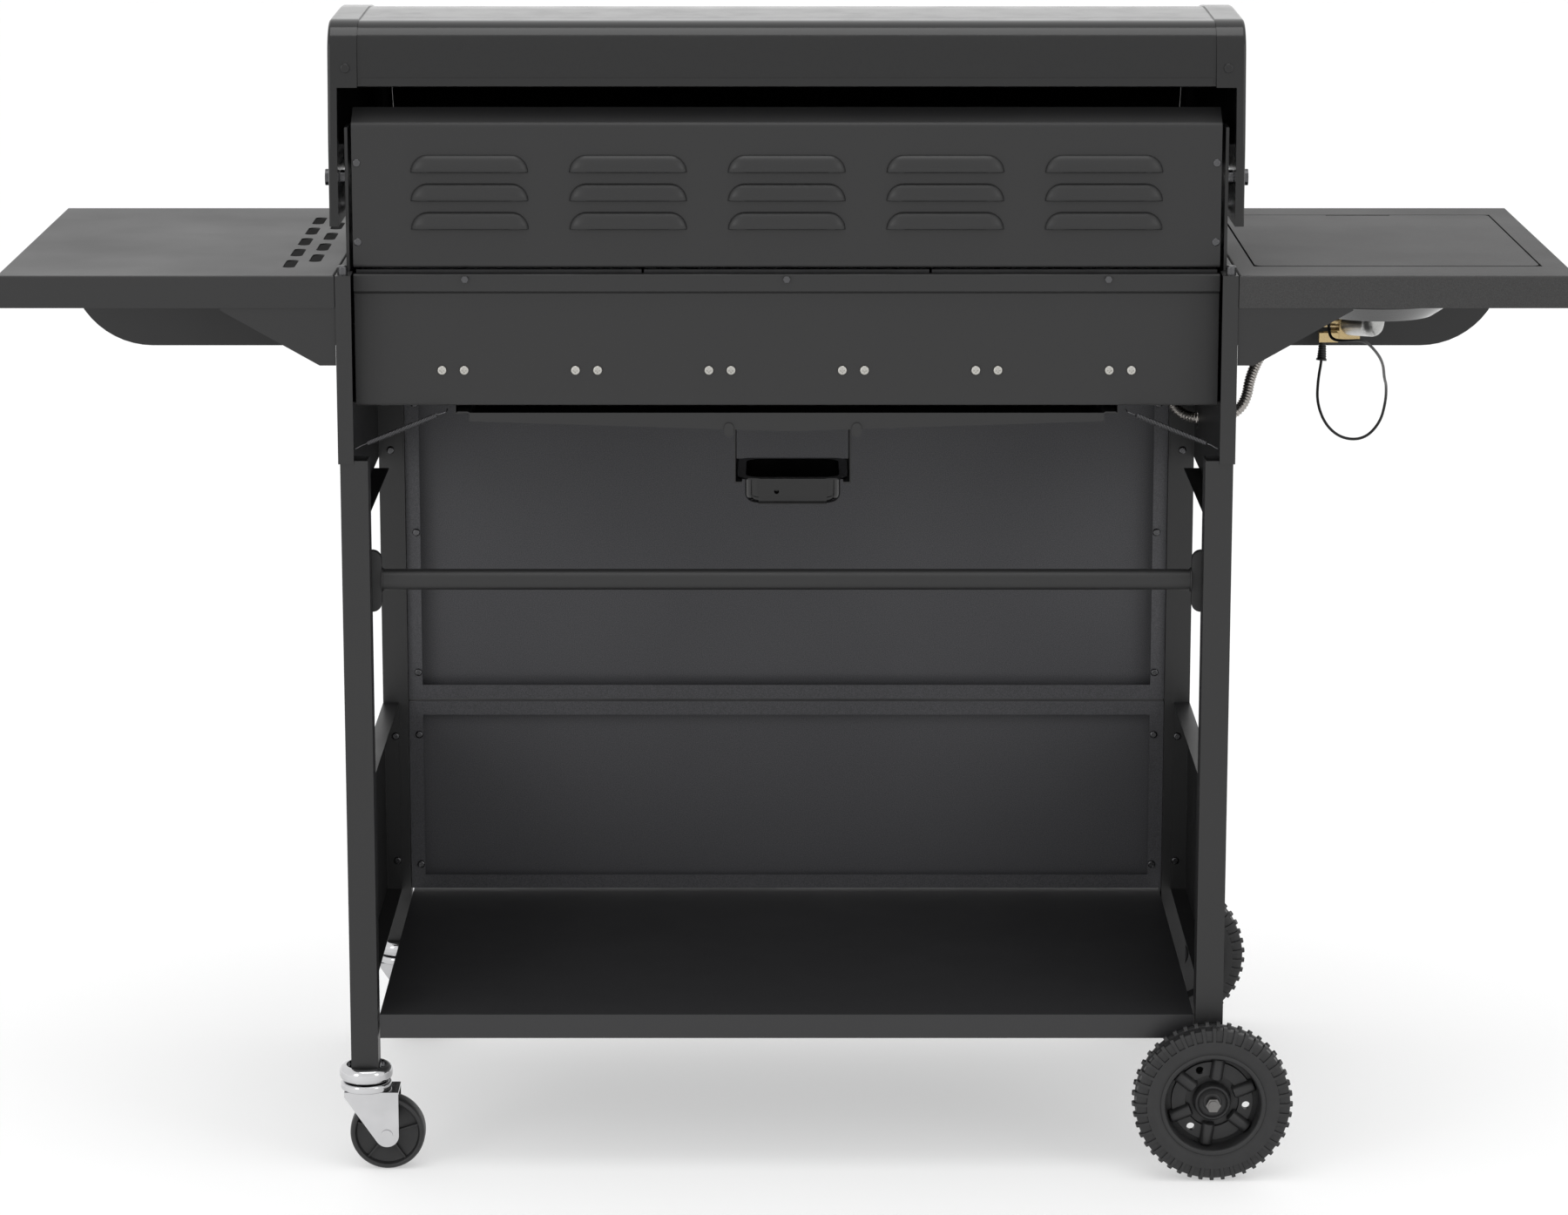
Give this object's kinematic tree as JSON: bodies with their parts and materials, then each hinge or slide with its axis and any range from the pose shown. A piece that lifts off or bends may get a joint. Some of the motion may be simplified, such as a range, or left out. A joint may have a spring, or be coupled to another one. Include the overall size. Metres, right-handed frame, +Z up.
{
  "type": "gas barbecue grill",
  "caption": "Black gas barbecue grill on an open cart with a glossy lid, side shelves, a side burner, two large wheels and two casters.",
  "frame": {"origin": "on the floor under the middle of the grill", "axes": "+Z up, -Y towards the user at the control panel, +X to the right of the user"},
  "size_m": [1.526, 0.5624, 1.1494],
  "materials": {
    "powder_coat": "satin",
    "shelf_textured": "textured",
    "front_textured": "fine textured",
    "shelf_floor": "satin",
    "gloss_enamel": "gloss",
    "black_steel": "satin",
    "zinc": "bright zinc",
    "stainless": "brushed",
    "chrome": "polished",
    "black_plastic": "matte",
    "brass": "machined",
    "cast_iron": "porcelain coated",
    "cast_aluminium": "cast",
    "needle_red": "satin",
    "wire_black": "satin"
  },
  "bodies": {
    "root": {"black_fasteners": "black_steel", "bottom_shelf": "shelf_floor", "burner_tubes": "stainless", "caster_sockets": "chrome", "control_panel": "front_textured", "cooking_grates": "cast_iron", "drip_bowl": "gloss_enamel", "firebox_rear_panel": "powder_coat", "firebox_walls": "powder_coat", "flame_tamers": "stainless", "front_panels": "front_textured", "gas_manifold": "brass", "ignition_wire": "wire_black", "legs": "powder_coat", "lid_hinge_pins": "black_steel", "louvred_back_panel": "powder_coat", "lower_side_panels": "powder_coat", "main_valves": "brass", "pot_support": "cast_iron", "rear_brace": "powder_coat", "shelf_supports": "powder_coat", "side_burner": "cast_aluminium", "side_burner_hose": "stainless", "side_burner_shelf": "shelf_textured", "side_burner_valve": "brass", "side_shelf": "powder_coat", "tension_springs": "black_steel", "upper_side_panels": "powder_coat", "warming_rack": "chrome", "wheel_axle": "zinc", "zinc_fasteners": "zinc"},
    "lid": {"lid_front_skin": "gloss_enamel", "lid_rear_skin": "gloss_enamel", "lid_end_caps": "gloss_enamel", "lid_handle": "stainless", "thermometer": "chrome"},
    "needle": {"thermometer_needle": "needle_red"},
    "side_lid": {"side_burner_lid": "shelf_textured"},
    "tray": {"grease_tray": "powder_coat"},
    "cup": {"grease_cup": "gloss_enamel"},
    "caster_rear_swivel": {"caster_fork_rear": "chrome"},
    "caster_rear_roller": {"caster_wheel_rear": "black_plastic"},
    "caster_front_swivel": {"caster_fork_front": "chrome"},
    "caster_front_roller": {"caster_wheel_front": "black_plastic"},
    "rear_wheel": {"wheel_rear": "black_plastic"},
    "front_wheel": {"wheel_front": "black_plastic"},
    "valve_stem_1": {"stem_1": "brass"},
    "control_knob_1": {"knob_1": "black_plastic"},
    "valve_stem_2": {"stem_2": "brass"},
    "control_knob_2": {"knob_2": "black_plastic"},
    "valve_stem_3": {"stem_3": "brass"},
    "control_knob_3": {"knob_3": "black_plastic"},
    "valve_stem_4": {"stem_4": "brass"},
    "control_knob_4": {"knob_4": "black_plastic"},
    "valve_stem_5": {"stem_5": "brass"},
    "control_knob_5": {"knob_5": "black_plastic"},
    "valve_stem_6": {"stem_6": "brass"},
    "control_knob_6": {"knob_6": "black_plastic"},
    "valve_stem_side": {"stem_side": "brass"},
    "control_knob_side": {"knob_side": "black_plastic"}
  },
  "joints": [
    {"name": "lid_hinge", "type": "hinge", "parent": "root", "child": "lid", "pos_m": [0, 0.19975, 0.996], "axis": [-1, 0, 0], "range_deg": [0, 80]},
    {"name": "thermometer_needle_pivot", "type": "hinge", "parent": "lid", "child": "needle", "pos_m": [0, -0.15425, 1.07971], "axis": [0, -0.6529, 0.7575], "range_deg": [-250, 0]},
    {"name": "side_burner_lid_hinge", "type": "hinge", "parent": "root", "child": "side_lid", "pos_m": [-0.597, 0.17875, 0.902], "axis": [-1, 0, 0], "range_deg": [0, 100]},
    {"name": "grease_tray_slide", "type": "slide", "parent": "root", "child": "tray", "axis": [0, 1, 0], "range_m": [0, 0.3]},
    {"name": "grease_cup_slide", "type": "slide", "parent": "tray", "child": "cup", "axis": [0, 1, 0], "range_m": [0, 0.125]},
    {"name": "caster_rear_swivel_joint", "type": "hinge", "parent": "root", "child": "caster_rear_swivel", "pos_m": [0.4205, 0.23125, 0.081], "axis": [0, 0, 1], "continuous": true},
    {"name": "caster_rear_roller_joint", "type": "hinge", "parent": "caster_rear_swivel", "child": "caster_rear_roller", "pos_m": [0.3995, 0.23125, 0.0375], "axis": [0, 1, 0], "continuous": true},
    {"name": "caster_front_swivel_joint", "type": "hinge", "parent": "root", "child": "caster_front_swivel", "pos_m": [0.4205, -0.19875, 0.081], "axis": [0, 0, 1], "continuous": true},
    {"name": "caster_front_roller_joint", "type": "hinge", "parent": "caster_front_swivel", "child": "caster_front_roller", "pos_m": [0.3995, -0.19875, 0.0375], "axis": [0, 1, 0], "continuous": true},
    {"name": "rear_wheel_joint", "type": "hinge", "parent": "root", "child": "rear_wheel", "pos_m": [-0.423, 0.26425, 0.0795], "axis": [0, 1, 0], "continuous": true},
    {"name": "front_wheel_joint", "type": "hinge", "parent": "root", "child": "front_wheel", "pos_m": [-0.423, -0.23175, 0.0795], "axis": [0, 1, 0], "continuous": true},
    {"name": "knob_1_push", "type": "slide", "parent": "root", "child": "valve_stem_1", "axis": [0, 1, 0], "range_m": [0, 0.003], "stiffness_N_per_m": 900},
    {"name": "knob_1_turn", "type": "hinge", "parent": "valve_stem_1", "child": "control_knob_1", "pos_m": [-0.325, -0.26725, 0.82], "axis": [0, -1, 0], "range_deg": [0, 180]},
    {"name": "knob_2_push", "type": "slide", "parent": "root", "child": "valve_stem_2", "axis": [0, 1, 0], "range_m": [0, 0.003], "stiffness_N_per_m": 900},
    {"name": "knob_2_turn", "type": "hinge", "parent": "valve_stem_2", "child": "control_knob_2", "pos_m": [-0.195, -0.26725, 0.82], "axis": [0, -1, 0], "range_deg": [0, 180]},
    {"name": "knob_3_push", "type": "slide", "parent": "root", "child": "valve_stem_3", "axis": [0, 1, 0], "range_m": [0, 0.003], "stiffness_N_per_m": 900},
    {"name": "knob_3_turn", "type": "hinge", "parent": "valve_stem_3", "child": "control_knob_3", "pos_m": [-0.065, -0.26725, 0.82], "axis": [0, -1, 0], "range_deg": [0, 180]},
    {"name": "knob_4_push", "type": "slide", "parent": "root", "child": "valve_stem_4", "axis": [0, 1, 0], "range_m": [0, 0.003], "stiffness_N_per_m": 900},
    {"name": "knob_4_turn", "type": "hinge", "parent": "valve_stem_4", "child": "control_knob_4", "pos_m": [0.065, -0.26725, 0.82], "axis": [0, -1, 0], "range_deg": [0, 180]},
    {"name": "knob_5_push", "type": "slide", "parent": "root", "child": "valve_stem_5", "axis": [0, 1, 0], "range_m": [0, 0.003], "stiffness_N_per_m": 900},
    {"name": "knob_5_turn", "type": "hinge", "parent": "valve_stem_5", "child": "control_knob_5", "pos_m": [0.195, -0.26725, 0.82], "axis": [0, -1, 0], "range_deg": [0, 180]},
    {"name": "knob_6_push", "type": "slide", "parent": "root", "child": "valve_stem_6", "axis": [0, 1, 0], "range_m": [0, 0.003], "stiffness_N_per_m": 900},
    {"name": "knob_6_turn", "type": "hinge", "parent": "valve_stem_6", "child": "control_knob_6", "pos_m": [0.325, -0.26725, 0.82], "axis": [0, -1, 0], "range_deg": [0, 180]},
    {"name": "knob_side_push", "type": "slide", "parent": "root", "child": "valve_stem_side", "axis": [0, 1, 0], "range_m": [0, 0.003], "stiffness_N_per_m": 900},
    {"name": "knob_side_turn", "type": "hinge", "parent": "valve_stem_side", "child": "control_knob_side", "pos_m": [-0.597, -0.24125, 0.788], "axis": [0, -1, 0], "range_deg": [0, 180]}
  ]
}
